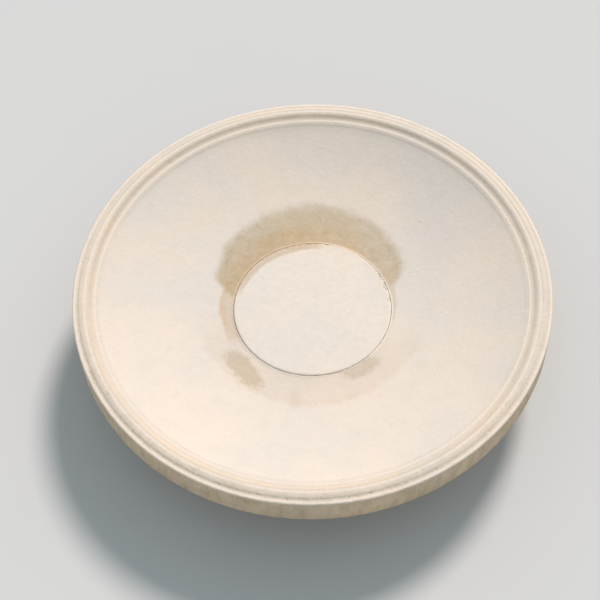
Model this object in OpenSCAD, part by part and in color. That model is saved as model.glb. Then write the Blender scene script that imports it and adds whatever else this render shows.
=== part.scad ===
// Low bird bath in cast stone: a shallow round bowl with a moulded rim and a
// loose flat stone in the middle, standing on a low round foot plinth.
// Millimetres, +Z up. The origin is at the middle of the plinth's underside.
// Everything is turned about the Z axis except the setting pads.

/* [Bowl] */
// Outside diameter of the bowl across the fascia
bowl_d = 510; // [470:5:530]
// Height of the bowl from the underside of its foot to the top of the rim
bowl_h = 88; // [84:1:110]
// Height of the plain upright fascia band, from its top arris down
fascia_h = 33; // [26:1:36]
// Radius of the turned arc that shapes the dish
dish_arc_r = 375; // [365:5:400]
// Diameter of the foot under the bowl
foot_d = 224; // [200:2:260]

/* [Centre stone] */
// Diameter of the loose flat stone in the middle of the dish
stone_d = 171; // [140:0.5:180]
// Thickness of the stone
stone_t = 12; // [10.5:0.5:13]
// How deep the top of the stone lies below the top of the rim
stone_drop = 41.4; // [39:0.2:44]
// Joint left all round between the stone and the dish
stone_joint = 0.5; // [0.4:0.1:2]

/* [Foot plinth] */
// Diameter of the plinth under the bowl
plinth_d = 250; // [230:2:300]
// Height of the plinth
plinth_h = 22; // [20:1:40]
// Chamfer round the top edge of the plinth
plinth_chamfer = 4; // [2:0.5:6]

/* [Setting] */
// Thickness of the rubber pads that the bowl is set down on
pad_t = 2.7; // [2:0.1:5]
// Diameter of each rubber pad
pad_d = 20; // [14:1:26]
// Diameter of the steel dowel that centres the bowl on the plinth
dowel_d = 16; // [12:1:20]
// How far the dowel stands down into the plinth
dowel_in_plinth = 13.6; // [10:0.1:14]
// How far the dowel stands up into the bowl
dowel_in_bowl = 17.4; // [12:0.1:17.4]

/* [Hidden] */
$fn = 120;

bowl_r = bowl_d / 2;
foot_r = foot_d / 2;
stone_r = stone_d / 2;

// Free gap between pieces that lift or turn against each other
rest_gap = 0.3;
// Loose fit of the dowel in both of its sockets
dowel_play = 0.4;

// Heights of the resting faces
plinth_top = plinth_h;
bowl_foot = plinth_top + pad_t + rest_gap;
rim_top = bowl_foot + bowl_h;

// Rim moulding. Distances in from the outer face, heights down from the rim top
band_in = 2.9;
band_r = 5;
band_top = 1.8;
groove_in = 5;
groove_up = 0.15;
groove_r = 2.2;
ridge_in = 13;
land_r = 20;
ridge_r = 7;
bead_in = 23.6;
bead_r = 3.6;
bead_top = 4.3;
block_top = 5;

// Cove: an arc that runs smoothly from the ridge's inner side to the top of the bead
cove_angle = 2 * atan(bead_top / (bead_in - ridge_in));
cove_r = (bead_in - ridge_in) / sin(cove_angle) - ridge_r;
cove_join = ridge_r * (1 - cos(cove_angle));

// Top arris of the fascia, where the band's round top meets the outer face
arris_depth = band_top + band_r - sqrt(band_r * band_r - band_in * band_in);
fascia_low = arris_depth + fascia_h;
// Width of the flat soffit under the rim, and the small chamfers
soffit_w = 12;
small_chamfer = 1.2;

// Dish: an arc whose lowest point lies off the axis, then a tighter arc up to the bead
dish_arc_in = 62;
dish_end_in = 37;
dish_end_depth = 10.4;
edge_arc_r = 86;
dish_end_r = bowl_r - dish_end_in;
dish_end_sin = (dish_end_r - dish_arc_in) / dish_arc_r;
dish_end_cos = sqrt(1 - dish_end_sin * dish_end_sin);

// Underside: a sphere through the soffit's inner edge and the top of the foot
foot_top = bowl_h - 12;
under_r1 = bowl_r - soffit_w;
under_z1 = -fascia_low;
under_r2 = foot_r;
under_z2 = -foot_top;
under_centre = (under_r1 * under_r1 - under_r2 * under_r2 + under_z1 * under_z1 - under_z2 * under_z2)
    / (2 * (under_z1 - under_z2));
under_sphere_r = sqrt(under_r1 * under_r1 + (under_z1 - under_centre) * (under_z1 - under_centre));

// Hollow under the foot, so that the bowl stands on a ring
hollow_r = 78;
hollow_h = 5;
pad_ring_r = (foot_r + hollow_r) / 2;

// Sockets for the dowel
socket_r = dowel_d / 2 + dowel_play;
bowl_socket_h = dowel_in_bowl + 0.6;
plinth_socket_h = dowel_in_plinth + dowel_play;
dowel_low = plinth_top - dowel_in_plinth;
dowel_high = bowl_foot + hollow_h + dowel_in_bowl;
dowel_chamfer = 1;

// Underside and top of the loose stone, down from the rim top
stone_low = stone_drop + stone_t;
stone_seat = stone_low + rest_gap;
stone_arris = 1.2;

// Half section of the bowl below the moulding, with Y = 0 at the rim top
module bowl_body_2d() {
    intersection() {
        translate([0, under_centre])
            circle(r = under_sphere_r);
        translate([0, -bowl_h])
            square([under_r1, bowl_h - block_top]);
    }
    polygon([
        [0, -bowl_h],
        [foot_r - small_chamfer, -bowl_h],
        [foot_r, -bowl_h + small_chamfer],
        [foot_r, -foot_top + 4],
        [0, -foot_top + 4]
    ]);
    polygon([
        [bowl_r - 32, -fascia_low],
        [bowl_r - small_chamfer, -fascia_low],
        [bowl_r, -fascia_low + small_chamfer],
        [bowl_r, -block_top],
        [bowl_r - 32, -block_top]
    ]);
}

// Hollow of the dish in half section, up to its meeting with the bead
module dish_2d() {
    intersection() {
        translate([dish_arc_in, dish_arc_r * dish_end_cos - dish_end_depth])
            circle(r = dish_arc_r);
        translate([0, -bowl_h])
            square([dish_end_r, bowl_h + 5]);
    }
    translate([dish_end_r - edge_arc_r * dish_end_sin, edge_arc_r * dish_end_cos - dish_end_depth])
        circle(r = edge_arc_r);
}

// Raised parts of the moulding: outer band, land, ridge, cove and inner bead
module moulding_2d() {
    translate([bowl_r - band_in, -band_top - band_r])
        circle(r = band_r);
    intersection() {
        translate([bowl_r - ridge_in, -land_r])
            circle(r = land_r);
        translate([bowl_r - ridge_in, -20])
            square([ridge_in, 20]);
    }
    translate([bowl_r - ridge_in, -ridge_r])
        circle(r = ridge_r);
    difference() {
        translate([bowl_r - bead_in, -8])
            square([bead_in - ridge_in - 0.5, 8 - cove_join]);
        translate([bowl_r - bead_in, cove_r - bead_top])
            circle(r = cove_r);
    }
    translate([bowl_r - bead_in, -bead_top - bead_r])
        circle(r = bead_r);
}

// Narrow rounded groove between the land and the band
module groove_2d() {
    translate([bowl_r - groove_in, -groove_up])
        circle(r = groove_r);
}

module bowl_2d() {
    intersection() {
        translate([0, -bowl_h])
            square([bowl_r, bowl_h + 5]);
        difference() {
            union() {
                difference() {
                    bowl_body_2d();
                    dish_2d();
                }
                moulding_2d();
            }
            groove_2d();
            translate([0, -stone_seat])
                square([stone_r + stone_joint, 20]);
            translate([0, -bowl_h])
                square([hollow_r, hollow_h]);
            translate([0, -bowl_h])
                square([socket_r, hollow_h + bowl_socket_h]);
        }
    }
}

// Shallow dish with the moulded rim, foot, stone seat and dowel socket
module bowl() {
    color([0.93, 0.88, 0.81])
    translate([0, 0, rim_top])
    rotate_extrude()
        bowl_2d();
}

// Flat round stone laid loose in the seat, proud of the dish round it
module centre_stone() {
    color([0.90, 0.86, 0.80])
    translate([0, 0, rim_top - stone_low])
    rotate_extrude()
        polygon([
            [0, 0],
            [stone_r - 0.6, 0],
            [stone_r, 0.6],
            [stone_r, stone_t - stone_arris],
            [stone_r - stone_arris, stone_t],
            [0, stone_t]
        ]);
}

// Low round block under the bowl, with a blind socket for the dowel
module foot_plinth() {
    color([0.74, 0.71, 0.63])
    difference() {
        rotate_extrude()
            polygon([
                [0, 0],
                [plinth_d / 2 - small_chamfer, 0],
                [plinth_d / 2, small_chamfer],
                [plinth_d / 2, plinth_h - plinth_chamfer],
                [plinth_d / 2 - plinth_chamfer, plinth_h],
                [0, plinth_h]
            ]);
        translate([0, 0, plinth_top - plinth_socket_h])
            cylinder(h = plinth_socket_h + 1, r = socket_r);
    }
}

// Three rubber pads under the bowl's foot ring
module setting_pads() {
    color([0.10, 0.10, 0.10])
    for (i = [0 : 2])
        rotate([0, 0, 90 + 120 * i])
        translate([pad_ring_r, 0, plinth_top])
            cylinder(h = pad_t, r = pad_d / 2);
}

// Plain steel dowel standing loose in both sockets
module locating_dowel() {
    color([0.60, 0.61, 0.62])
    translate([0, 0, dowel_low])
    rotate_extrude()
        polygon([
            [0, 0],
            [dowel_d / 2 - dowel_chamfer, 0],
            [dowel_d / 2, dowel_chamfer],
            [dowel_d / 2, dowel_high - dowel_low - dowel_chamfer],
            [dowel_d / 2 - dowel_chamfer, dowel_high - dowel_low],
            [0, dowel_high - dowel_low]
        ]);
}

bowl();
centre_stone();
foot_plinth();
setting_pads();
locating_dowel();
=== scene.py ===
# Bird bath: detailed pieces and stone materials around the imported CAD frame.
import math

import bmesh
import bpy
import numpy as np
from mathutils import Matrix, Vector, kdtree


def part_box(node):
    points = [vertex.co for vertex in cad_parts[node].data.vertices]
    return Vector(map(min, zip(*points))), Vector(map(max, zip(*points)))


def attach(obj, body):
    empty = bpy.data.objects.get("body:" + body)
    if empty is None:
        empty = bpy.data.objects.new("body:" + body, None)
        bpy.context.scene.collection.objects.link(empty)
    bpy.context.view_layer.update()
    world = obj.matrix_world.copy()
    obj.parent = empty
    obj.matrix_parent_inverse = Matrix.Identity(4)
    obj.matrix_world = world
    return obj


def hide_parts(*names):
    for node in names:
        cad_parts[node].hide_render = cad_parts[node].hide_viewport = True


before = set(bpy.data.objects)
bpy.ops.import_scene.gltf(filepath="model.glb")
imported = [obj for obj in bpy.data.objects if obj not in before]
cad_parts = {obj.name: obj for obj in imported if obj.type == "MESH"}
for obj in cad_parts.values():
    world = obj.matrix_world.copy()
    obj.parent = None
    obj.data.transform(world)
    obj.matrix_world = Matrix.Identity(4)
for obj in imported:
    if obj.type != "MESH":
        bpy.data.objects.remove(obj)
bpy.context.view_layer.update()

MM = 0.001

# Sizes read from the CAD nodes, in millimetres
bowl_low, bowl_high = (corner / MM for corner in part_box("bowl"))
stone_low, stone_high = (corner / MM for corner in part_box("centre_stone"))
plinth_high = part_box("foot_plinth")[1] / MM
pads_low, pads_high = (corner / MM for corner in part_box("setting_pads"))
dowel_low, dowel_high = (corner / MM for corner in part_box("locating_dowel"))

BOWL_R = bowl_high.x
RIM_TOP = bowl_high.z
BOWL_FOOT = bowl_low.z
STONE_R = stone_high.x
STONE_TOP = stone_high.z
STONE_LOW = stone_low.z
DOWEL_R = dowel_high.x
PLINTH_R = plinth_high.x
PLINTH_TOP = plinth_high.z

# Sizes that repeat part.scad, in millimetres. IN is a distance in from the fascia
DISH_ARC_R, DISH_ARC_OFF = 375.0, 62.0
DISH_END_IN, DISH_END_DEPTH = 37.0, 10.4
EDGE_ARC_R = 86.0
STONE_JOINT = 0.5
REST_GAP = 0.3
BAND_IN, BAND_R, BAND_TOP = 2.9, 5.0, 1.8
GROOVE_IN, GROOVE_R, GROOVE_UP = 4.6, 3.4, -1.35  # worn wider and shallower than it was cast
RIDGE_IN, RIDGE_R, LAND_R = 13.0, 7.0, 20.0
BEAD_IN, BEAD_R, BEAD_TOP = 23.6, 3.6, 4.3
BLOCK_TOP = 5.0
RIM_IN = 29.5  # where the rim's moulding starts
FASCIA_H = 33.0
SOFFIT_W = 12.0
CHAMFER = 1.2
FOOT_R = 112.0
FOOT_H = 12.0
HOLLOW_R, HOLLOW_H = 78.0, 5.0
SOCKET_PLAY = 0.4
SOCKET_H = 18.0
PLINTH_SOCKET_H = 14.0
PLINTH_CHAMFER = 4.0
PAD_R = 10.0
PAD_RING_R = (FOOT_R + HOLLOW_R) / 2
PAD_FIRST_ANGLE = math.radians(90)

# Mesh density
RIM_COUNT = 960
BASE_COUNT = 320
WEAR_ROUND = 0.45  # how far the sharp CAD corners are worn round
JOINT_OPEN = 0.03  # silt has closed the stone's joint to this width
SILT_UP = (1.15, 0.60, 0.18)  # and lies this high against it, thinning out over 3 mm


# ---------------------------------------------------------------- noise

def lattice(ix, iy, iz, seed):
    """A repeatable number from 0 to 1 for each whole-number point."""
    h = (ix * 73856093) ^ (iy * 19349663) ^ (iz * 83492791) ^ (seed * 2654435761)
    h &= 0xFFFFFFFF
    h = ((h ^ (h >> 15)) * 2246822519) & 0xFFFFFFFF
    h = ((h ^ (h >> 13)) * 3266489917) & 0xFFFFFFFF
    return ((h ^ (h >> 16)) & 0xFFFFFF) / float(0xFFFFFF)


def noise(points, size, seed):
    """Smooth noise from -1 to 1 with lumps about size millimetres across."""
    q = points / size
    i = np.floor(q).astype(np.int64)
    f = q - i
    f = f * f * (3 - 2 * f)
    total = np.zeros(len(points))
    for dx in (0, 1):
        wx = f[:, 0] if dx else 1 - f[:, 0]
        for dy in (0, 1):
            wy = f[:, 1] if dy else 1 - f[:, 1]
            for dz in (0, 1):
                wz = f[:, 2] if dz else 1 - f[:, 2]
                total += wx * wy * wz * lattice(i[:, 0] + dx, i[:, 1] + dy, i[:, 2] + dz, seed)
    return total * 2 - 1


def fbm(points, size, seed):
    """Noise in three layers, each half the size and half the weight of the one before."""
    total = np.zeros(len(points))
    weight = 1.0
    for k in range(3):
        total += weight * noise(points, size / 2 ** k, seed + 17 * k)
        weight *= 0.5
    return total


def step_up(x, low, high):
    """0 below low, 1 above high, smooth between."""
    t = np.clip((x - low) / (high - low), 0, 1)
    return t * t * (3 - 2 * t)


# ---------------------------------------------------------------- turned shapes

def dish_height(r):
    """Height of the dish below the rim top at radius r: a wide arc, then a tighter one near the rim."""
    r = np.maximum(np.asarray(r, float), DISH_ARC_OFF)
    end_r = BOWL_R - DISH_END_IN
    sin = (end_r - DISH_ARC_OFF) / DISH_ARC_R
    cos = math.sqrt(1 - sin * sin)
    wide = DISH_ARC_R * cos - np.sqrt(np.maximum(DISH_ARC_R ** 2 - (r - DISH_ARC_OFF) ** 2, 0))
    tight = EDGE_ARC_R * cos - np.sqrt(np.maximum(EDGE_ARC_R ** 2 - (r - end_r + EDGE_ARC_R * sin) ** 2, 0))
    return np.where(r < end_r, wide, tight) - DISH_END_DEPTH


def arc_top(x, centre, radius, top):
    """Height of a circle's upper side at x, or far below beside the circle."""
    across = np.abs(x - centre)
    rise = np.sqrt(np.maximum(radius ** 2 - across ** 2, 0))
    return np.where(across < radius, top - radius + rise, -100.0)


def rim_height(r):
    """Height of the rim moulding below the rim top at radius r."""
    inward = BOWL_R - r
    angle = 2 * math.atan(BEAD_TOP / (BEAD_IN - RIDGE_IN))
    cove_r = (BEAD_IN - RIDGE_IN) / math.sin(angle) - RIDGE_R
    join = RIDGE_R * (1 - math.cos(angle))
    cove = cove_r - BEAD_TOP - np.sqrt(np.maximum(cove_r ** 2 - (inward - BEAD_IN) ** 2, 0))
    raised = np.maximum.reduce([
        np.minimum(dish_height(r), -BLOCK_TOP),
        arc_top(inward, BEAD_IN, BEAD_R, -BEAD_TOP),
        np.where((inward > RIDGE_IN) & (inward < BEAD_IN), np.minimum(cove, -join), -100.0),
        arc_top(inward, RIDGE_IN, RIDGE_R, 0),
        np.where(inward <= RIDGE_IN, arc_top(inward, RIDGE_IN, LAND_R, 0), -100.0),
        arc_top(inward, BAND_IN, BAND_R, -BAND_TOP),
    ])
    across = np.abs(inward - GROOVE_IN)
    groove = -GROOVE_UP - np.sqrt(np.maximum(GROOVE_R ** 2 - across ** 2, 0))
    return np.where(across < GROOVE_R, np.minimum(raised, groove), raised)


def bowl_section():
    """The bowl's half section from the seat's middle, over the rim, to the dowel socket."""
    seat_r = STONE_R + STONE_JOINT
    seat_z = STONE_LOW - REST_GAP - RIM_TOP
    filled_r = STONE_R + JOINT_OPEN
    dish_r = np.linspace(seat_r + 3.0, BOWL_R - RIM_IN, 300)
    silt = [(r, float(dish_height(r)) + up) for r, up in zip((seat_r, seat_r + 0.7, seat_r + 1.6), SILT_UP)]
    rim_r = np.linspace(BOWL_R - RIM_IN, BOWL_R, 600)[1:]
    rim_z = rim_height(rim_r)
    fascia_low = rim_z[-1] - FASCIA_H
    foot_z = BOWL_FOOT - RIM_TOP
    foot_top = foot_z + FOOT_H
    r1, z1, r2, z2 = BOWL_R - SOFFIT_W, fascia_low, FOOT_R, foot_top
    under_mid = (r1 * r1 - r2 * r2 + z1 * z1 - z2 * z2) / (2 * (z1 - z2))
    under_r = math.hypot(r1, z1 - under_mid)
    under = np.linspace(r1, r2, 120)
    under_z = under_mid - np.sqrt(under_r ** 2 - under ** 2)
    socket_r = DOWEL_R + SOCKET_PLAY
    hollow_z = foot_z + HOLLOW_H
    points = [(0, seat_z), (filled_r, seat_z), (filled_r, silt[0][1])] + silt
    points += list(zip(dish_r, dish_height(dish_r)))
    points += list(zip(rim_r, rim_z))
    points += [(BOWL_R, fascia_low + CHAMFER), (BOWL_R - CHAMFER, fascia_low)]
    points += list(zip(under, under_z))
    points += [(FOOT_R, foot_z + CHAMFER), (FOOT_R - CHAMFER, foot_z), (HOLLOW_R, foot_z)]
    points += [(HOLLOW_R, hollow_z), (socket_r, hollow_z)]
    points += [(socket_r, hollow_z + SOCKET_H), (0, hollow_z + SOCKET_H)]
    return np.array(points, float) + [0, RIM_TOP]


def bowl_spacing(r, z):
    """Distance between rings along the bowl's section."""
    depth = z - RIM_TOP
    spacing = np.full(len(r), 8.0)
    top = depth > -55
    spacing[top & (r < STONE_R - 5)] = 12.0
    spacing[top & (r >= STONE_R - 5)] = 1.3
    spacing[top & (r > STONE_R + 14)] = 2.7
    spacing[top & (r > BOWL_R - 35)] = 1.7
    spacing[(r > BOWL_R - RIM_IN) & (depth > -10)] = 0.95
    spacing[(r > BOWL_R - 8) & (depth > -6)] = 0.75
    spacing[(r > BOWL_R - 1) & (depth < -4)] = 2.9
    spacing[(r > BOWL_R - 3) & (depth < -FASCIA_H + 1)] = 1.2
    under = (depth < -FASCIA_H - 1.2) & (r < BOWL_R - 4) & ~(top & (r < BOWL_R - 60))
    spacing[under & (r > BOWL_R - 16)] = 3.5
    spacing[under & (r <= BOWL_R - 16) & (r > FOOT_R + 4)] = 8.0
    spacing[(z < BOWL_FOOT + 16) & (r > FOOT_R - 5) & (r < FOOT_R + 4)] = 2.2
    spacing[(z < BOWL_FOOT + 30) & (r < DOWEL_R + 3)] = 3.0
    return spacing


def worn(points, step=0.1, wear=WEAR_ROUND):
    """The same line in even steps, with its corners worn round."""
    length = np.r_[0, np.cumsum(np.hypot(*np.diff(points, axis=0).T))]
    s = np.linspace(0, length[-1], int(length[-1] / step) + 1)
    line = np.stack([np.interp(s, length, points[:, k]) for k in (0, 1)], 1)
    reach = int(4 * wear / step)
    window = np.exp(-0.5 * (np.arange(-reach, reach + 1) * step / wear) ** 2)
    window /= window.sum()
    padded = np.concatenate([
        2 * line[0] - line[reach:0:-1],
        line,
        2 * line[-1] - line[-2:-reach - 2:-1],
    ])
    return np.stack([np.convolve(padded[:, k], window, "valid") for k in (0, 1)], 1)


def rings_along(line, spacing):
    """Points on the line, spacing apart, with the outward direction at each."""
    gaps = np.hypot(*np.diff(line, axis=0).T)
    want = spacing(line[:, 0], line[:, 1])
    load = np.r_[0, np.cumsum(gaps * 2 / (want[1:] + want[:-1]))]
    at = np.linspace(0, load[-1], int(round(load[-1])) + 1)
    r = np.interp(at, load, line[:, 0])
    z = np.interp(at, load, line[:, 1])
    tangent = np.gradient(line, axis=0)
    tangent /= np.hypot(*tangent.T)[:, None] + 1e-9
    nr = np.interp(at, load, -tangent[:, 1])
    nz = np.interp(at, load, tangent[:, 0])
    size = np.hypot(nr, nz) + 1e-9
    return r, z, nr / size, nz / size


def joined(first, second, a, b):
    """Faces between two rings whose points start at first and second, with a and b points."""
    if a == b:
        j = np.arange(a)
        k = (j + 1) % a
        return np.stack([first + j, second + j, second + k, first + k], 1).tolist()
    faces = []
    if b == 3 * a:
        for j in range(a):
            k = (j + 1) % a
            o = [second + (3 * j + i) % b for i in range(4)]
            faces += [(first + j, o[0], o[1]), (first + j, o[1], o[2], first + k), (first + k, o[2], o[3])]
        return faces
    for j in range(b):
        k = (j + 1) % b
        o = [first + (3 * j + i) % a for i in range(4)]
        faces += [(o[0], second + j, o[1]), (o[1], second + j, second + k, o[2]), (o[2], second + k, o[3])]
    return faces


def turned(name, line, spacing, count_at, shaping=None):
    """A closed turned piece. line runs from axis to axis. shaping moves its points along their normals."""
    r, z, nr, nz = rings_along(line, spacing)
    starts, counts, columns = [0], [], []
    total = 1
    for i in range(1, len(r) - 1):
        n = count_at(r[i], z[i])
        phi = np.arange(n) * 2 * math.pi / n
        ring = [np.full(n, value) for value in (r[i], z[i], nr[i], nz[i])]
        columns.append(np.stack(ring + [phi], 1))
        starts.append(total)
        counts.append(n)
        total += n
    data = np.concatenate(columns)
    data = np.concatenate([
        [[0, z[0], 0, nz[0], 0]],
        data,
        [[0, z[-1], 0, nz[-1], 0]],
    ])
    rr, zz, nrr, nzz, phi = data.T
    cos, sin = np.cos(phi), np.sin(phi)
    position = np.stack([rr * cos, rr * sin, zz], 1)
    masks = {}
    if shaping is not None:
        move, masks = shaping(position, rr, zz, nrr, nzz)
        position = position + move[:, None] * np.stack([nrr * cos, nrr * sin, nzz], 1)
    faces = []
    first, n = starts[1], counts[0]
    j = np.arange(n)
    faces += np.stack([np.zeros(n, int), first + j, first + (j + 1) % n], 1).tolist()
    for i in range(len(counts) - 1):
        faces += joined(starts[i + 1], starts[i + 2], counts[i], counts[i + 1])
    first, n = starts[-1], counts[-1]
    j = np.arange(n)
    faces += np.stack([first + j, np.full(n, total), first + (j + 1) % n], 1).tolist()
    return mesh_object(name, position, faces, masks)


def mesh_object(name, position, faces, masks):
    """A smooth shaded object from points in millimetres, with its masks as attributes."""
    mesh = bpy.data.meshes.new(name)
    mesh.from_pydata((position * MM).tolist(), [], faces)
    mesh.polygons.foreach_set("use_smooth", np.ones(len(mesh.polygons), bool))
    for key, values in masks.items():
        attribute = mesh.attributes.new(key, "FLOAT", "POINT")
        attribute.data.foreach_set("value", np.asarray(values, np.float32))
    mesh.validate()
    mesh.update()
    piece = bpy.data.objects.new(name, mesh)
    bpy.context.scene.collection.objects.link(piece)
    return piece


def dig(position, rings, spots):
    """How deep small pits reach at each point, from spots of (centre, radius, depth)."""
    depth = np.zeros(len(position))
    tree = kdtree.KDTree(len(rings))
    for i in rings:
        tree.insert(position[i], int(i))
    tree.balance()
    for centre, radius, deep in spots:
        for _, index, away in tree.find_range(centre, radius):
            t = 1 - (away / radius) ** 2
            depth[index] = max(depth[index], deep * t * (0.6 + 0.4 * t))
    return depth


# ---------------------------------------------------------------- bowl

def on_top(inward, degrees):
    """A point on the rim, inward millimetres in from the fascia, at an angle."""
    r = BOWL_R - inward
    a = math.radians(degrees)
    return (r * math.cos(a), r * math.sin(a), RIM_TOP + float(rim_height(np.array([r]))[0]))


def on_fascia(down, degrees):
    a = math.radians(degrees)
    return (BOWL_R * math.cos(a), BOWL_R * math.sin(a), RIM_TOP - down)


# Pits placed one by one where the rim is worn most: angle, distance in, radius and depth
WORN_PITS = (
    (209.6, 9.3, 2.0, 0.6), (211.0, 8.6, 1.4, 0.4), (216.5, 6.4, 1.9, 0.4), (219.0, 6.0, 1.7, 0.45),
    (221.5, 5.6, 2.1, 0.5), (224.0, 6.2, 1.6, 0.35), (231.5, 5.4, 1.7, 0.35), (246.0, 5.8, 1.8, 0.4),
    (262.0, 5.2, 1.6, 0.6), (281.0, 5.9, 1.7, 0.7), (297.0, 5.7, 1.5, 0.6), (353.0, 10.5, 1.6, 0.6),
)


def rim_spots():
    """Pits of the weathered rim. The near side is the most worn."""
    draw = np.random.default_rng(41)
    in_groove = (5.4, 0.8)  # middle and spread of the distance in from the fascia
    spots = []

    def add(place, radii, depths):
        spots.append((place, draw.uniform(*radii), draw.uniform(*depths)))

    for _ in range(34):
        angle = draw.normal(236, 34)
        add(on_top(draw.normal(*in_groove), angle), (0.8, 1.4), (0.2, 0.55))
    for _ in range(40):
        add(on_top(draw.normal(*in_groove), draw.uniform(0, 360)), (0.7, 1.3), (0.12, 0.35))
    for _ in range(110):
        angle = draw.uniform(185, 345)
        add(on_top(draw.uniform(7.6, 13.6), angle), (0.7, 1.3), (0.15, 0.45))
    for _ in range(40):
        add(on_top(draw.uniform(8, 26), draw.uniform(0, 360)), (0.7, 1.2), (0.15, 0.4))
    for _ in range(50):
        add(on_top(draw.uniform(0.6, 3.6), draw.uniform(0, 360)), (0.8, 1.5), (0.15, 0.45))
    for _ in range(210):
        add(on_fascia(draw.uniform(5, FASCIA_H), draw.uniform(0, 360)), (0.9, 2.1), (0.2, 0.7))
    for angle, inward, radius, deep in WORN_PITS:
        spots.append((on_top(inward, angle), radius, deep))
    return spots


def arris_chips():
    """Small breaks along the fascia's upper and lower edges."""
    draw = np.random.default_rng(97)
    spots = []
    for many, low, high, radii, depths in (
        (70, 2.3, 3.2, (1.0, 2.6), (0.15, 0.5)),
        (80, FASCIA_H + 1.2, FASCIA_H + 2.2, (1.4, 3.2), (0.25, 0.7)),
    ):
        for _ in range(many):
            place = on_fascia(draw.uniform(low, high), draw.uniform(0, 360))
            spots.append((place, draw.uniform(*radii), draw.uniform(*depths)))
    return spots


def shape_bowl(position, r, z, nr, nz):
    """Weathering and hand-cast unevenness. It only takes material off the rim and the foot."""
    depth = z - RIM_TOP
    inward = BOWL_R - r
    low_edge = -FASCIA_H - 3.5
    dish = (r > STONE_R + 1.5) & (inward > RIM_IN - 2) & (nz > 0.6) & (depth > -52)
    rim = (inward < RIM_IN) & (depth > low_edge)
    under = (depth < low_edge + 0.5) & (nz < 0.3)
    move = np.zeros(len(r))
    fade = step_up(r, STONE_R + 1.5, STONE_R + 10) * (1 - step_up(r, BOWL_R - 36, BOWL_R - RIM_IN))
    uneven = 0.30 * fbm(position, 78, 3) + 0.09 * fbm(position, 24, 5)
    move += np.where(dish, uneven * fade, 0)
    wear = 0.14 * np.maximum(0, fbm(position, 11, 7) + 0.2) + 0.10 * np.abs(fbm(position, 4.2, 9))
    in_groove = step_up(inward, 3.2, 4.0) * (1 - step_up(inward, 6.2, 7.0)) * (nz > 0.1)
    wear += in_groove * 0.14 * np.maximum(0, fbm(position, 3.4, 13) - 0.05)
    on_fascia_face = nr > 0.8
    wear += np.where(on_fascia_face, 0.10 * np.maximum(0, fbm(position * [1, 1, 0.45], 9, 15)), 0)
    move -= np.where(rim, wear, 0)
    move += np.where(under, 0.25 * fbm(position, 34, 19) - 0.3, 0)
    foot = (z < BOWL_FOOT + 1.0) & (nz < -0.5)
    move[foot] = 0.0
    inside = (r < FOOT_R - 1.5) & (z < BOWL_FOOT + 30) & (depth < -60)
    move[inside] = 0.0
    near = np.nonzero(rim)[0]
    pits = dig(position, near, rim_spots())
    chips = dig(position, near, arris_chips())
    move -= pits + chips
    seat_lip = (np.abs(r - STONE_R - STONE_JOINT) < 1.2) & (depth > -49)
    move -= np.where(seat_lip, 0.35 * np.maximum(0, fbm(position, 5, 23)), 0)
    hollow = np.clip((pits + 0.6 * chips) / 0.9, 0, 1)
    outside = np.where(inward < 6, step_up(nr, 0.6, 0.9) * step_up(-depth, 2.2, 5.0), 0)
    outside = np.maximum(outside, (nz < 0.3) & (depth < -FASCIA_H))
    return move, {"pit": hollow, "outside": outside}


def bowl_count(r, z):
    fine = r > BOWL_R - 32 and z > RIM_TOP - FASCIA_H - 3.5
    return RIM_COUNT if fine else BASE_COUNT


bowl = turned("bowl_casting", worn(bowl_section()), bowl_spacing, bowl_count, shape_bowl)


# ---------------------------------------------------------------- centre stone

def stone_section():
    arris = 1.2
    return np.array([
        (0, STONE_TOP),
        (STONE_R - arris, STONE_TOP),
        (STONE_R - 0.35 * arris, STONE_TOP - 0.35 * arris),
        (STONE_R, STONE_TOP - arris),
        (STONE_R, STONE_LOW + 0.6),
        (STONE_R - 0.6, STONE_LOW),
        (0, STONE_LOW),
    ], float)


def stone_spacing(r, z):
    spacing = np.full(len(r), 2.4)
    spacing[r > STONE_R - 12] = 1.3
    spacing[r > STONE_R - 2.5] = 0.6
    spacing[z < STONE_TOP - 2] = 1.5
    spacing[(z < STONE_LOW + 0.5) & (r < STONE_R - 2)] = 12.0
    return spacing


def on_stone(r, a):
    return (r * math.cos(a), r * math.sin(a), STONE_TOP)


def edge_spots():
    """Broken spots on the stone's arris, worst on its right and far side, and pits over its top."""
    draw = np.random.default_rng(5)
    spots = []
    for low, high, many, big, deep, spread in (
        (2, 32, 22, 3.0, 1.2, 1.6),
        (76, 112, 20, 2.6, 0.9, 1.6),
        (112, 200, 14, 2.2, 0.5, 0.6),
        (200, 360, 22, 2.0, 0.35, 0.6),
    ):
        for _ in range(many):
            a = math.radians(draw.uniform(low, high))
            place = on_stone(STONE_R - abs(draw.normal(0, spread)), a)
            spots.append((place, draw.uniform(0.45, 1) * big, draw.uniform(0.4, 1) * deep))
    for _ in range(26):
        a = draw.uniform(0, 2 * math.pi)
        place = on_stone(STONE_R * math.sqrt(draw.uniform(0, 0.9)), a)
        spots.append((place, draw.uniform(1.2, 2.0), draw.uniform(0.12, 0.3)))
    return spots


def shape_stone(position, r, z, nr, nz):
    top = (nz > 0.5) & (z > STONE_TOP - 2)
    move = np.where(top, -0.10 - 0.08 * fbm(position, 40, 31) - 0.035 * fbm(position, 9, 33), 0)
    edge = (r > STONE_R - 2.5) & (z > STONE_TOP - 3)
    crumbled = 0.16 * np.maximum(0, fbm(position, 5, 35)) + 0.08 * np.abs(fbm(position, 2.4, 37))
    move -= np.where(edge, crumbled, 0)
    side = (nr > 0.7) & (z < STONE_TOP - 2)
    move -= np.where(side, 0.12 * np.abs(fbm(position, 6, 39)), 0)
    pits = dig(position, np.nonzero(z > STONE_TOP - 3)[0], edge_spots())
    return move - pits, {"pit": np.clip(pits / 0.8, 0, 1)}


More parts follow.
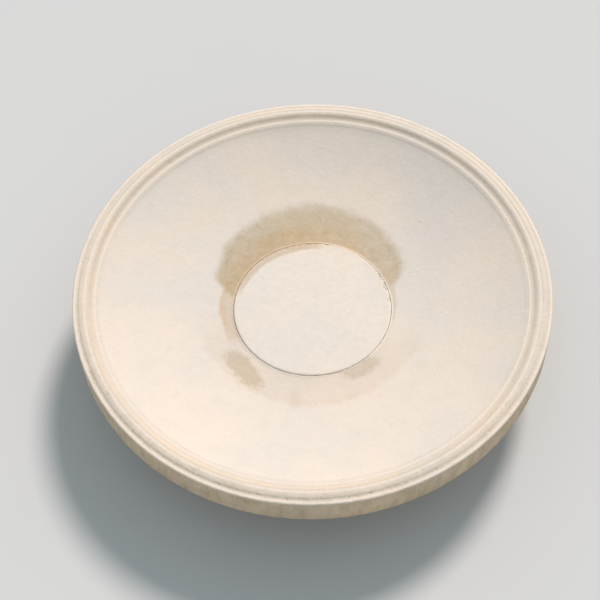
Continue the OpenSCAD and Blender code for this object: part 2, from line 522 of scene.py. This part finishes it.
stone = turned("centre_stone_slab", worn(stone_section(), wear=0.3), stone_spacing,
               lambda r, z: BASE_COUNT, shape_stone)


def lime_crumbs():
    """Crumbs of lime and grit lodged in the joint and stuck to the dish near it, as one mesh."""
    draw = np.random.default_rng(23)
    seat_r = STONE_R + STONE_JOINT
    grains = []
    for low, high, many in ((4, 34, 18), (80, 106, 9)):
        for _ in range(many):
            a = math.radians(draw.uniform(low, high))
            grains.append((seat_r + draw.uniform(0.2, 1.8), a, draw.uniform(0.5, 1.1)))
    for x, y, spread, many in ((119.5, 105.0, 5.0, 10), (109.0, 35.0, 3.6, 6)):
        for _ in range(many):
            gx, gy = x + draw.normal(0, spread), y + draw.normal(0, spread * 0.6)
            grains.append((math.hypot(gx, gy), math.atan2(gy, gx), draw.uniform(0.6, 1.2)))
    build = bmesh.new()
    for r, a, size in grains:
        ground = RIM_TOP + float(dish_height(max(r, seat_r + 0.6)))
        made = bmesh.ops.create_icosphere(build, subdivisions=2, radius=1.0)["verts"]
        stretch = Vector((draw.uniform(0.9, 1.7), draw.uniform(0.7, 1.1), draw.uniform(0.35, 0.55))) * size
        turn = Matrix.Rotation(draw.uniform(0, math.pi), 3, "Z")
        rough = noise(np.array([v.co[:] for v in made]) * 3 + r, 1.6, 61)
        for v, bump in zip(made, rough):
            p = turn @ (Vector([v.co[k] * stretch[k] for k in range(3)]) * (1 + 0.28 * bump))
            v.co = (Vector((r * math.cos(a), r * math.sin(a), ground - 0.15 * size)) + p) * MM
    mesh = bpy.data.meshes.new("lime_crumbs")
    build.to_mesh(mesh)
    build.free()
    mesh.polygons.foreach_set("use_smooth", np.ones(len(mesh.polygons), bool))
    piece = bpy.data.objects.new("lime_crumbs", mesh)
    bpy.context.scene.collection.objects.link(piece)
    return piece


crumbs = lime_crumbs()


# ---------------------------------------------------------------- foot plinth, pads and dowel

def plinth_section():
    socket_r = DOWEL_R + SOCKET_PLAY
    return np.array([
        (0, PLINTH_TOP - PLINTH_SOCKET_H),
        (socket_r, PLINTH_TOP - PLINTH_SOCKET_H),
        (socket_r, PLINTH_TOP),
        (PLINTH_R - PLINTH_CHAMFER, PLINTH_TOP),
        (PLINTH_R, PLINTH_TOP - PLINTH_CHAMFER),
        (PLINTH_R, CHAMFER),
        (PLINTH_R - CHAMFER, 0),
        (0, 0),
    ], float)


def plinth_spacing(r, z):
    spacing = np.full(len(r), 3.0)
    spacing[r > PLINTH_R - 8] = 1.3
    spacing[(z < 0.5) & (r < PLINTH_R - 4)] = 14.0
    return spacing


def shape_plinth(position, r, z, nr, nz):
    move = -0.22 * np.maximum(0, fbm(position, 13, 43) + 0.3) - 0.12 * np.abs(fbm(position, 4, 45))
    draw = np.random.default_rng(77)
    spots = []
    for _ in range(150):
        a = draw.uniform(0, 2 * math.pi)
        side = (PLINTH_R * math.cos(a), PLINTH_R * math.sin(a), draw.uniform(0.8, PLINTH_TOP - 2.5))
        spots.append((side, draw.uniform(1.2, 3.0), draw.uniform(0.3, 1.1)))
    pits = dig(position, np.nonzero(nr > 0.3)[0], spots)
    move = move - pits
    move[(nz < -0.5) | (r < DOWEL_R + 3)] = 0.0
    return move, {"pit": np.clip(pits, 0, 1)}


plinth = turned("foot_plinth_block", worn(plinth_section()), plinth_spacing, lambda r, z: 288, shape_plinth)


def pad_piece(index):
    """One rubber pad, with a rounded edge and a shallow moulded ring on its top."""
    low, high = pads_low.z, pads_high.z
    section = np.array([
        (0, high - 0.3), (5.6, high - 0.3), (6.2, high), (PAD_R - 0.5, high), (PAD_R, high - 0.5),
        (PAD_R, low + 0.4), (PAD_R - 0.4, low), (0, low),
    ], float)
    piece = turned(f"rubber_pad_{index + 1}", worn(section, step=0.05, wear=0.12),
                   lambda r, z: np.full(len(r), 0.45), lambda r, z: 64)
    a = PAD_FIRST_ANGLE + index * 2 * math.pi / 3
    ring_r = PAD_RING_R * MM
    piece.data.transform(Matrix.Translation((ring_r * math.cos(a), ring_r * math.sin(a), 0)))
    return piece


pads = [pad_piece(i) for i in range(3)]

dowel_section = np.array([
    (0, dowel_high.z), (DOWEL_R - 1, dowel_high.z), (DOWEL_R, dowel_high.z - 1),
    (DOWEL_R, dowel_low.z + 1), (DOWEL_R - 1, dowel_low.z), (0, dowel_low.z),
], float)
dowel = turned("steel_dowel", worn(dowel_section, step=0.05, wear=0.15),
               lambda r, z: np.full(len(r), 0.8), lambda r, z: 96)


# ---------------------------------------------------------------- materials

class Looks:
    """Short ways to write a node material."""

    def __init__(self, name):
        self.material = bpy.data.materials.new(name)
        self.material.use_nodes = True
        self.tree = self.material.node_tree
        self.tree.nodes.clear()
        self.shader = self.tree.nodes.new("ShaderNodeBsdfPrincipled")
        out = self.tree.nodes.new("ShaderNodeOutputMaterial")
        self.tree.links.new(self.shader.outputs[0], out.inputs[0])
        self.place = self.tree.nodes.new("ShaderNodeTexCoord").outputs["Object"]
        split = self.tree.nodes.new("ShaderNodeSeparateXYZ")
        self.tree.links.new(self.place, split.inputs[0])
        self.x, self.y, self.z = (self.product(split.outputs[k], 1 / MM) for k in range(3))
        self.r = self.length(self.x, self.y)

    def put(self, socket, value):
        if isinstance(value, bpy.types.NodeSocket):
            self.tree.links.new(value, socket)
        elif isinstance(value, tuple):
            socket.default_value = (*value, 1.0)[:4] if len(socket.default_value) == 4 else value
        else:
            socket.default_value = value

    def math(self, kind, a, b=0.0):
        node = self.tree.nodes.new("ShaderNodeMath")
        node.operation = kind
        for socket, value in zip(node.inputs, (a, b)):
            self.put(socket, value)
        return node.outputs[0]

    def plus(self, a, b):
        return self.math("ADD", a, b)

    def minus(self, a, b):
        return self.math("SUBTRACT", a, b)

    def over(self, a, b):
        return self.math("DIVIDE", a, b)

    def larger(self, a, b):
        return self.math("MAXIMUM", a, b)

    def product(self, *values):
        total = values[0]
        for v in values[1:]:
            total = self.math("MULTIPLY", total, v)
        return total

    def length(self, x, y):
        return self.math("SQRT", self.plus(self.product(x, x), self.product(y, y)))

    def rise(self, value, low, high):
        """0 below low, 1 above high, smooth between. low may be the larger."""
        node = self.tree.nodes.new("ShaderNodeMapRange")
        node.interpolation_type = "SMOOTHSTEP"
        flip = low > high
        self.put(node.inputs["Value"], value)
        self.put(node.inputs["From Min"], min(low, high))
        self.put(node.inputs["From Max"], max(low, high))
        self.put(node.inputs["To Min"], 1.0 if flip else 0.0)
        self.put(node.inputs["To Max"], 0.0 if flip else 1.0)
        return node.outputs[0]

    def window(self, value, low, high, soft):
        """1 between low and high, 0 outside, soft wide at both ends."""
        up = self.rise(value, low - soft / 2, low + soft / 2)
        down = self.rise(value, high + soft / 2, high - soft / 2)
        return self.product(up, down)

    def facing(self, degrees, half, soft):
        """1 within half degrees of an angle round the axis, 0 beyond half plus soft."""
        a = math.radians(degrees)
        along = self.plus(self.product(self.x, math.cos(a)), self.product(self.y, math.sin(a)))
        cosine = self.over(along, self.larger(self.r, 1.0))
        outer = math.radians(min(179, half + soft))
        return self.rise(cosine, math.cos(outer), math.cos(math.radians(half)))

    def scaled(self, sx, sy, sz):
        node = self.tree.nodes.new("ShaderNodeMapping")
        self.put(node.inputs["Vector"], self.place)
        node.inputs["Scale"].default_value = (sx, sy, sz)
        return node.outputs[0]

    def noise(self, size, detail=3.0, rough=0.55, at=None, colour=False):
        node = self.tree.nodes.new("ShaderNodeTexNoise")
        self.put(node.inputs["Vector"], self.place if at is None else at)
        self.put(node.inputs["Scale"], 1 / (size * MM))
        self.put(node.inputs["Detail"], detail)
        self.put(node.inputs["Roughness"], rough)
        return node.outputs[1 if colour else 0]

    def cells(self, size):
        node = self.tree.nodes.new("ShaderNodeTexVoronoi")
        self.put(node.inputs["Vector"], self.place)
        self.put(node.inputs["Scale"], 1 / (size * MM))
        return node.outputs["Distance"]

    def wavering(self, size, reach):
        """x and y pushed about by noise, up to reach millimetres."""
        split = self.tree.nodes.new("ShaderNodeSeparateXYZ")
        self.put(split.inputs[0], self.noise(size, 3.0, 0.6, colour=True))
        moved = []
        for own, k in ((self.x, 0), (self.y, 1)):
            push = self.product(self.minus(split.outputs[k], 0.5), 2 * reach)
            moved.append(self.plus(own, push))
        return moved

    def mix(self, share, a, b, kind="MIX"):
        node = self.tree.nodes.new("ShaderNodeMix")
        node.data_type = "RGBA"
        node.blend_type = kind
        self.put(node.inputs[0], share)
        self.put(node.inputs[6], a)
        self.put(node.inputs[7], b)
        return node.outputs[2]

    def tint(self, colour, share, by):
        """colour multiplied by the tint, as much as share says."""
        return self.mix(share, colour, by, "MULTIPLY")

    def attribute(self, name):
        node = self.tree.nodes.new("ShaderNodeAttribute")
        node.attribute_name = name
        return node.outputs["Fac"]

    def bump(self, height, distance, under=None):
        node = self.tree.nodes.new("ShaderNodeBump")
        self.put(node.inputs["Height"], height)
        node.inputs["Distance"].default_value = distance * MM
        node.inputs["Strength"].default_value = 1.0
        if under is not None:
            self.put(node.inputs["Normal"], under)
        return node.outputs[0]

    def finish(self, colour, rough, normal=None, specular=0.3):
        self.put(self.shader.inputs["Base Color"], colour)
        self.put(self.shader.inputs["Roughness"], rough)
        self.shader.inputs["Specular IOR Level"].default_value = specular
        if normal is not None:
            self.put(self.shader.inputs["Normal"], normal)
        return self.material


CREAM_WARM = (0.722, 0.628, 0.540)
CREAM_GREY = (0.672, 0.610, 0.548)
LIME = (0.880, 0.820, 0.750)
LIME_SIDE = (5, 62, 22)  # angle, half width and fade of the side where lime lies on the joint


def stone_ground(looks, blotch=0.5):
    """Cream cast stone before any dirt: broad drifts of tone, mottling, and grains of sand."""
    drift = looks.rise(looks.noise(95, 3.0, 0.5), 0.35, 0.66)
    colour = looks.mix(drift, CREAM_GREY, CREAM_WARM)
    mottle = looks.rise(looks.noise(15, 4.0, 0.62), 0.42, 0.72)
    colour = looks.tint(colour, looks.product(mottle, blotch), (0.945, 0.945, 0.935))
    fine = looks.rise(looks.noise(2.4, 3.0, 0.7), 0.46, 0.74)
    colour = looks.tint(colour, looks.product(fine, 0.55), (0.93, 0.925, 0.915))
    sand = looks.rise(looks.cells(1.7), 0.24, 0.10)
    keep = looks.rise(looks.noise(6.0, 2.0, 0.5), 0.52, 0.62)
    colour = looks.tint(colour, looks.product(sand, keep, 0.45), (0.80, 0.77, 0.74))
    pale = looks.rise(looks.noise(3.3, 2.0, 0.5, at=looks.scaled(1.0, 1.13, 0.9)), 0.60, 0.72)
    return looks.mix(looks.product(pale, 0.28), colour, (0.78, 0.72, 0.65))


def stone_grain(looks, rough_share=1.0):
    """Bump of the cast surface: sandy grain and slight dimples."""
    grain = looks.noise(1.1, 4.0, 0.65)
    dimples = looks.noise(5.5, 3.0, 0.55)
    first = looks.bump(dimples, 0.35 * rough_share)
    return looks.bump(grain, 0.16 * rough_share, under=first)


class Waver:
    """The bowl's own place, pushed about by coarse and by fine noise so that stains get ragged edges."""

    def __init__(self, looks):
        big_x, big_y = looks.wavering(26, 7.0)
        self.fine_x, self.fine_y = looks.wavering(7, 1.5)
        self.fine_r = looks.length(self.fine_x, self.fine_y)
        self.x = looks.plus(big_x, looks.minus(self.fine_x, looks.x))
        self.y = looks.plus(big_y, looks.minus(self.fine_y, looks.y))
        self.r = looks.length(self.x, self.y)


def patchiness(looks):
    """How evenly damp lies: clumps and grit, about 0.8 to 1.06."""
    clumps = looks.rise(looks.noise(12, 4.0, 0.62), 0.34, 0.60)
    grit = looks.rise(looks.noise(3.6, 4.0, 0.66), 0.36, 0.62)
    return looks.plus(0.80, looks.plus(looks.product(clumps, 0.16), looks.product(grit, 0.10)))


def far_damp(looks, colour, at, patchy):
    """Damp crescent on the far side of the stone, with a narrow strip down each side."""
    x, y, r = looks.x, looks.y, looks.r
    reach = looks.length(at.x, looks.minus(at.y, 33.0))
    on_right = looks.rise(x, -10, 10)
    more_right = looks.product(on_right, looks.minus(5.1, looks.product(at.y, 0.22)))
    limit = looks.plus(looks.plus(69.4, at.y), more_right)
    ends = looks.rise(looks.minus(at.r, limit), 6.0, -5.0)
    narrowing = looks.product(looks.math("ABSOLUTE", x), 0.10)
    softness = looks.larger(12.0, looks.minus(23.0, narrowing))
    crescent = looks.product(looks.rise(looks.over(looks.minus(reach, 111.0), softness), 0.0, -1.0), ends)
    on_left = looks.rise(x, -55, -68)
    left_strip = looks.product(looks.rise(at.r, 101.5, 97.5), on_left, looks.rise(at.y, -48, -22))
    right_limit = looks.plus(91.0, looks.product(y, 0.10))
    right_edge = looks.rise(looks.minus(at.fine_r, right_limit), 2.0, -2.0)
    right_strip = looks.product(right_edge, looks.rise(x, 55, 66), looks.rise(at.y, -58, -34))
    paler_right = looks.minus(1.0, looks.product(looks.rise(x, 20, 80), 0.16))
    strips = looks.larger(looks.product(left_strip, 0.52), looks.product(right_strip, 0.50))
    damp = looks.product(looks.larger(looks.product(crescent, paler_right), strips), patchy)

    out = looks.rise(at.fine_r, STONE_R + 8, STONE_R + 44)
    tone = looks.mix(out, (0.745, 0.640, 0.475), (0.735, 0.695, 0.580))
    rusty = looks.product(looks.window(at.fine_r, STONE_R - 2, STONE_R + 20, 12), looks.facing(135, 36, 24))
    tone = looks.mix(looks.product(rusty, 0.60), tone, (0.700, 0.580, 0.400))
    strip_only = looks.product(left_strip, looks.minus(1.0, crescent))
    tone = looks.mix(strip_only, tone, (0.750, 0.620, 0.440))
    colour = looks.tint(colour, damp, tone)
    dark = looks.product(crescent, looks.rise(looks.noise(8, 5.0, 0.68), 0.50, 0.66))
    colour = looks.tint(colour, looks.product(dark, 0.9), (0.910, 0.895, 0.860))
    broken = looks.rise(looks.noise(15, 3.0, 0.6), 0.36, 0.60)
    tide_line = looks.product(looks.window(reach, 95.0, 104.0, 5.0), ends, broken)
    colour = looks.tint(colour, looks.product(tide_line, 0.8), (0.935, 0.920, 0.890))
    span = looks.product(looks.rise(at.y, -30, -10), looks.rise(at.y, 44, 34))
    orange_edge = looks.product(looks.window(at.r, 93.0, 100.5, 5.5), on_left, span)
    colour = looks.tint(colour, looks.product(orange_edge, 0.65), (0.985, 0.895, 0.790))
    worn_edge = looks.product(looks.window(r, STONE_R + 0.2, STONE_R + 2.8, 1.2), looks.facing(112, 54, 14))
    colour = looks.mix(looks.product(worn_edge, 0.60), colour, (0.640, 0.470, 0.320))
    lime = looks.product(looks.window(r, STONE_R + 0.2, STONE_R + 1.8, 1.0), looks.facing(*LIME_SIDE))
    return looks.mix(looks.product(lime, 0.60), colour, LIME), damp


# The two olive patches on the near side: middle, direction, half sizes, tone, core tone and share
OLIVE_PATCHES = (
    ((-76.0, -74.5), (0.62, -0.78), (32.0, 12.5), (0.785, 0.750, 0.655), (0.805, 0.758, 0.655), 0.92),
    ((48.0, -77.0), (0.91, 0.41), (22.0, 13.0), (0.820, 0.795, 0.715), (0.845, 0.812, 0.728), 0.88),
)


def near_stains(looks, colour, at, patchy):
    """Olive patches, and a faint pinkish wash inside a tide line with one rust mark."""
    for (cx, cy), (ux, uy), (half_long, half_wide), tone, core_tone, share in OLIVE_PATCHES:
        px = looks.minus(at.x, cx)
        py = looks.minus(at.y, cy)
        along = looks.over(looks.plus(looks.product(px, ux), looks.product(py, uy)), half_long)
        across = looks.over(looks.minus(looks.product(py, ux), looks.product(px, uy)), half_wide)
        away = looks.length(along, across)
        ragged = looks.product(looks.minus(looks.noise(3.4, 3.0, 0.7), 0.5), 0.8)
        frayed = looks.plus(away, ragged)
        patch = looks.product(looks.rise(frayed, 1.15, 0.70), patchy, share)
        core = looks.product(looks.rise(frayed, 0.62, 0.25), 0.65)
        colour = looks.tint(colour, patch, looks.mix(core, tone, core_tone))
    wash = looks.product(looks.rise(at.r, 128.0, 118.0), looks.facing(262, 48, 40))
    colour = looks.tint(colour, wash, (0.952, 0.926, 0.900))
    broken = looks.rise(looks.noise(9, 3.0, 0.6), 0.40, 0.60)
    tide = looks.product(looks.window(at.fine_r, 118.0, 125.0, 8.0), looks.facing(272, 52, 22), broken)
    colour = looks.tint(colour, looks.product(tide, 0.7), (0.975, 0.930, 0.895))
    rust_x = looks.plus(at.fine_x, 23.5)
    rust_y = looks.product(looks.plus(at.fine_y, 114.0), 0.45)
    rust = looks.rise(looks.length(rust_x, rust_y), 10.0, 1.0)
    return looks.tint(colour, looks.product(rust, 0.65), (0.960, 0.880, 0.800))


# Dirt and painted shade in the rim's hollows, by distance in from the fascia: low, high, softness, share
# and tone
RIM_HOLLOW_DIRT_AND_SHADE = (
    (25.6, 28.2, 3.0, 0.65, (0.935, 0.900, 0.858)),
    (16.8, 21.0, 3.0, 0.45, (0.880, 0.840, 0.785)),
)
# Lines darker on one side of the rim only, painted shade with some dirt: low, high, softness, (angle, half
# width, fade), share and tone
RIM_SHADE_AND_DIRT_ONE_SIDE = (
    (26.4, 29.8, 3.0, (80, 40, 40), 0.8, (0.860, 0.850, 0.820)),
    (16.8, 20.6, 3.0, (110, 50, 50), 0.7, (0.905, 0.872, 0.822)),
    (9.9, 11.1, 1.2, (80, 60, 50), 0.9, (0.860, 0.830, 0.780)),
    (14.6, 17.0, 1.6, (258, 50, 40), 0.9, (0.880, 0.860, 0.820)),
    (5.6, 10.0, 4.0, (258, 50, 40), 0.7, (0.920, 0.910, 0.890)),
)
# Tops worn clean and pale: the ridge, the band and the bead
WORN_TOPS = (
    (12.0, 14.0, 0.45, (0.830, 0.752, 0.672)),
    (1.6, 3.0, 0.70, (0.860, 0.745, 0.640)),
    (22.8, 24.4, 0.40, (0.840, 0.765, 0.690)),
)


def rim_tones(looks, colour, on_rim, above):
    """The rim is yellower than the dish, with dirt and painted shade in its hollows and along one side, and
    dirt over its land.
    """
    colour = looks.tint(colour, on_rim, (1.0, 0.972, 0.925))
    inward = looks.minus(BOWL_R, looks.r)
    blot = looks.rise(looks.noise(8, 4.0, 0.65), 0.36, 0.62)
    # All round: darker lines in the hollows, dirt with painted shade
    for low, high, soft, share, tone in RIM_HOLLOW_DIRT_AND_SHADE:
        blotted = looks.plus(0.45, looks.product(blot, 0.55))
        line = looks.product(looks.window(inward, low, high, soft), above, blotted)
        colour = looks.tint(colour, looks.product(line, share), tone)
    # One side only: painted shade with some dirt
    for low, high, soft, side, share, tone in RIM_SHADE_AND_DIRT_ONE_SIDE:
        line = looks.product(looks.window(inward, low, high, soft), above, looks.facing(*side))
        colour = looks.tint(colour, looks.product(line, share), tone)
    for low, high, share, tone in WORN_TOPS:
        crest = looks.product(looks.window(inward, low, high, 1.2), above, share)
        colour = looks.mix(crest, colour, tone)

    # Grey in the groove, mostly on the near side: painted shade, with some dirt
    near_side = looks.facing(258, 58, 34)
    groove_shade_share = looks.plus(0.45, looks.product(near_side, 0.55))
    groove_blot = looks.plus(0.55, looks.product(blot, 0.45))
    groove = looks.product(looks.window(inward, 4.2, 6.6, 2.2), above, groove_shade_share, groove_blot)
    colour = looks.tint(colour, groove, (0.930, 0.935, 0.925))

    # Dark specks and grime over the land and the outer band
    on_land = looks.product(looks.window(inward, 0.5, 14.4, 1.2), above)
    specks = looks.rise(looks.cells(3.1), 0.30, 0.12)
    speck_keep = looks.rise(looks.noise(17, 3.0, 0.6), 0.44, 0.60)
    colour = looks.tint(colour, looks.product(specks, speck_keep, on_land, 0.65), (0.72, 0.71, 0.69))
    grime = looks.rise(looks.noise(13, 4.0, 0.7), 0.46, 0.66)
    grime_share = looks.plus(0.30, looks.product(near_side, 0.35))
    return looks.tint(colour, looks.product(grime, on_land, grime_share), (0.900, 0.893, 0.865))


def fascia_tones(looks, colour, face):
    """Tints on the fascia and underside: green-grey weathering with runs down the face, which also paints
    in shade; darker towards the bottom of the face, and darker on the underside.
    """
    z = looks.z
    below = looks.product(face, looks.rise(z, RIM_TOP - FASCIA_H - 1.6, RIM_TOP - FASCIA_H - 3.6))
    runs = looks.rise(looks.noise(9, 4.0, 0.65, at=looks.scaled(1.0, 1.0, 0.28)), 0.38, 0.66)
    cloud = looks.rise(looks.noise(24, 4.0, 0.6), 0.36, 0.64)
    # The face yellowed, streaked and clouded: weathering, and painted shade as well
    colour = looks.tint(colour, face, (0.985, 0.900, 0.775))
    colour = looks.tint(colour, looks.product(face, runs, 0.85), (0.800, 0.805, 0.760))
    colour = looks.tint(colour, looks.product(face, cloud, 0.70), (0.845, 0.850, 0.800))
    # Darker towards the bottom of the face
    lower = looks.product(face, looks.rise(z, RIM_TOP - 18, RIM_TOP - FASCIA_H), 0.35)
    colour = looks.tint(colour, lower, (0.82, 0.81, 0.74))
    # Darker on the underside
    return looks.tint(colour, looks.product(below, 0.8), (0.86, 0.85, 0.80))


def bowl_stone():
    looks = Looks("cast_stone_bowl")
    at = Waver(looks)
    patchy = patchiness(looks)
    colour, damp = far_damp(looks, stone_ground(looks), at, patchy)
    colour = near_stains(looks, colour, at, patchy)
    on_rim = looks.rise(looks.r, BOWL_R - 27, BOWL_R - 24)
    above = looks.rise(looks.z, RIM_TOP - FASCIA_H - 3, RIM_TOP - FASCIA_H)
    face = looks.attribute("outside")
    colour = rim_tones(looks, colour, on_rim, above)
    colour = fascia_tones(looks, colour, face)
    pits = looks.rise(looks.attribute("pit"), 0.10, 0.75)
    colour = looks.tint(colour, looks.product(pits, 0.85), (0.60, 0.60, 0.58))

    rough = looks.minus(0.86, looks.product(damp, 0.14))
    rough = looks.plus(rough, looks.product(looks.noise(4, 2.0, 0.5), 0.08))
    coarse = looks.noise(2.6, 4.0, 0.7)
    weather = looks.product(looks.larger(looks.product(on_rim, above), face), coarse)
    normal = looks.bump(weather, 0.55, under=stone_grain(looks))
    return looks.finish(colour, rough, normal)


def centre_stone_material():
    looks = Looks("cast_stone_centre")
    colour = looks.mix(0.35, stone_ground(looks, blotch=0.8), (0.770, 0.695, 0.625))
    fine_x, fine_y = looks.wavering(8, 2.2)
    fine_r = looks.length(fine_x, fine_y)
    soft_mottle = looks.rise(looks.noise(8, 3.0, 0.6), 0.44, 0.68)
    colour = looks.tint(colour, looks.product(soft_mottle, 0.7), (0.960, 0.955, 0.945))
    # Damp that has crept over the far-left edge, and a thin rusty line round that side
    clean_x = looks.minus(fine_x, 2.4)
    clean_y = looks.plus(fine_y, 8.2)
    clean_r = looks.length(clean_x, clean_y)
    damp = looks.product(looks.rise(clean_r, STONE_R - 2.4, STONE_R + 1.0), looks.facing(122, 30, 18))
    speckled = looks.plus(0.70, looks.product(looks.rise(looks.noise(3.0, 4.0, 0.7), 0.40, 0.60), 0.30))
    colour = looks.tint(colour, looks.product(damp, speckled), (0.785, 0.710, 0.590))
    line = looks.product(looks.rise(looks.r, STONE_R - 1.8, STONE_R - 0.4), looks.facing(112, 52, 14))
    colour = looks.mix(looks.product(line, 0.55), colour, (0.66, 0.49, 0.34))
    lime = looks.product(looks.rise(looks.r, STONE_R - 1.6, STONE_R - 0.3), looks.facing(*LIME_SIDE))
    colour = looks.mix(looks.product(lime, 0.60), colour, LIME)
    faint = looks.product(looks.rise(fine_r, STONE_R - 9, STONE_R - 2), looks.facing(60, 40, 20))
    colour = looks.tint(colour, looks.product(faint, 0.8), (0.975, 0.945, 0.890))
    side = looks.rise(looks.z, STONE_TOP - 0.8, STONE_TOP - 3.0)
    colour = looks.tint(colour, side, (0.86, 0.81, 0.74))
    pits = looks.rise(looks.attribute("pit"), 0.15, 0.8)
    colour = looks.tint(colour, looks.product(pits, 0.6), (0.72, 0.70, 0.66))
    rough = looks.plus(0.80, looks.product(looks.noise(4, 2.0, 0.5), 0.12))
    return looks.finish(colour, rough, stone_grain(looks, 0.9))


def crumb_material():
    looks = Looks("lime_crumb")
    mottle = looks.rise(looks.noise(2.0, 3.0, 0.6), 0.35, 0.65)
    colour = looks.mix(mottle, (0.62, 0.54, 0.44), (0.80, 0.74, 0.66))
    return looks.finish(colour, 0.9, looks.bump(looks.noise(0.7, 3.0, 0.6), 0.2))


def plinth_material():
    looks = Looks("cast_stone_plinth")
    colour = looks.tint(stone_ground(looks, blotch=0.9), 1.0, (0.80, 0.79, 0.73))
    moss = looks.rise(looks.noise(19, 5.0, 0.65), 0.46, 0.66)
    colour = looks.tint(colour, looks.product(moss, 0.9), (0.74, 0.76, 0.64))
    soil = looks.product(looks.rise(looks.z, 11, 1), looks.rise(looks.noise(10, 4.0, 0.6), 0.30, 0.62))
    colour = looks.tint(colour, looks.product(soil, 0.9), (0.60, 0.54, 0.44))
    pits = looks.rise(looks.attribute("pit"), 0.1, 0.8)
    colour = looks.tint(colour, looks.product(pits, 0.8), (0.6, 0.6, 0.56))
    rough = looks.plus(0.84, looks.product(looks.noise(4, 2.0, 0.5), 0.10))
    coarse = looks.bump(looks.noise(2.6, 4.0, 0.7), 0.5, under=stone_grain(looks))
    return looks.finish(colour, rough, coarse)


def rubber_material():
    looks = Looks("pad_rubber")
    dusty = looks.rise(looks.noise(5, 3.0, 0.6), 0.4, 0.65)
    colour = looks.mix(dusty, (0.018, 0.018, 0.018), (0.045, 0.043, 0.040))
    rough = looks.plus(0.62, looks.product(looks.noise(3, 2.0, 0.5), 0.25))
    return looks.finish(colour, rough, looks.bump(looks.noise(0.6, 2.0, 0.5), 0.05))


def steel_material():
    looks = Looks("dowel_steel")
    drawn = looks.noise(0.5, 2.0, 0.5, at=looks.scaled(1.0, 1.0, 0.05))
    stain = looks.rise(looks.noise(9, 4.0, 0.6), 0.50, 0.70)
    colour = looks.mix(looks.product(stain, 0.6), (0.46, 0.47, 0.48), (0.30, 0.27, 0.24))
    rough = looks.plus(0.30, looks.product(looks.plus(drawn, stain), 0.16))
    looks.shader.inputs["Metallic"].default_value = 1.0
    return looks.finish(colour, rough, looks.bump(drawn, 0.03), specular=0.5)


def dress(piece, material, body, slot, *nodes):
    piece.data.materials.clear()
    piece.data.materials.append(material)
    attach(piece, body)
    if nodes:
        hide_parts(*nodes)


dress(bowl, bowl_stone(), "bowl", "cast_stone", "bowl")
dress(stone, centre_stone_material(), "stone", "centre_stone", "centre_stone")
dress(crumbs, crumb_material(), "bowl", "cast_stone")
dress(plinth, plinth_material(), "base", "plinth_stone", "foot_plinth")
rubber = rubber_material()
for pad in pads:
    dress(pad, rubber, "base", "pad_rubber", "setting_pads")
dress(dowel, steel_material(), "dowel", "dowel_steel", "locating_dowel")


# ---------------------------------------------------------------- floor, light and camera

def floor():
    half = 9.0
    mesh = bpy.data.meshes.new("studio_floor")
    corners = [(-half, -half, 0), (half, -half, 0), (half, half, 0), (-half, half, 0)]
    mesh.from_pydata(corners, [], [(0, 1, 2, 3)])
    piece = bpy.data.objects.new("studio_floor", mesh)
    bpy.context.scene.collection.objects.link(piece)
    looks = Looks("studio_floor")
    colour = looks.mix(looks.noise(400, 2.0, 0.5), (0.565, 0.565, 0.560), (0.590, 0.590, 0.585))
    piece.data.materials.append(looks.finish(colour, 0.9))


SUN_AZIMUTH = 61.5
SUN_HEIGHT = 50.0
SUN_STRENGTH = 2.96
SUN_COLOUR = (1.0, 0.91, 0.865)
SUN_SOFTNESS = 14.0
SKY = (0.480, 0.545, 0.580)


def lights():
    data = bpy.data.lights.new("soft_key", "SUN")
    data.energy = SUN_STRENGTH
    data.color = SUN_COLOUR
    data.angle = math.radians(SUN_SOFTNESS)
    key = bpy.data.objects.new("soft_key", data)
    a, h = math.radians(SUN_AZIMUTH), math.radians(SUN_HEIGHT)
    towards = Vector((math.cos(a) * math.cos(h), math.sin(a) * math.cos(h), math.sin(h)))
    key.rotation_mode = "QUATERNION"
    key.rotation_quaternion = towards.to_track_quat("Z", "Y")
    key.location = towards * 3
    bpy.context.scene.collection.objects.link(key)
    world = bpy.data.worlds.new("studio")
    world.use_nodes = True
    world.node_tree.nodes["Background"].inputs["Color"].default_value = (*SKY, 1.0)
    world.node_tree.nodes["Background"].inputs["Strength"].default_value = 1.0
    bpy.context.scene.world = world


# Where the photograph was taken from, in bowl radii from a point on the axis just under the rim's top.
# The photograph hardly fixes the lens: 90 mm was chosen, and the rest was fitted with it
CAMERA_AIM_DEPTH = 1.5
CAMERA_LENS = 90.0
CAMERA_HEIGHT_ANGLE = 56.60
CAMERA_ROLL = -2.61
CAMERA_ASIDE = 0.0510
CAMERA_UP = -0.0534
CAMERA_AWAY = 6.2520


def camera():
    data = bpy.data.cameras.new("camera")
    data.lens = CAMERA_LENS
    data.sensor_width = 36.0
    cam = bpy.data.objects.new("camera", data)
    e, roll = math.radians(CAMERA_HEIGHT_ANGLE), math.radians(CAMERA_ROLL)
    forward = Vector((0, math.cos(e), -math.sin(e)))
    right = Vector((1, 0, 0))
    down = Vector((0, -math.sin(e), -math.cos(e)))
    unit = BOWL_R * MM
    aim = Vector((0, 0, (RIM_TOP - CAMERA_AIM_DEPTH) * MM))
    spot = aim - unit * (CAMERA_ASIDE * right + CAMERA_UP * down + CAMERA_AWAY * forward)
    rolled_right = right * math.cos(roll) - down * math.sin(roll)
    rolled_up = -(right * math.sin(roll) + down * math.cos(roll))
    turn = Matrix((rolled_right, rolled_up, -forward)).transposed()
    cam.matrix_world = Matrix.Translation(spot) @ turn.to_4x4()
    bpy.context.scene.collection.objects.link(cam)
    bpy.context.scene.camera = cam


floor()
lights()
camera()
bpy.context.scene.view_settings.view_transform = "Standard"
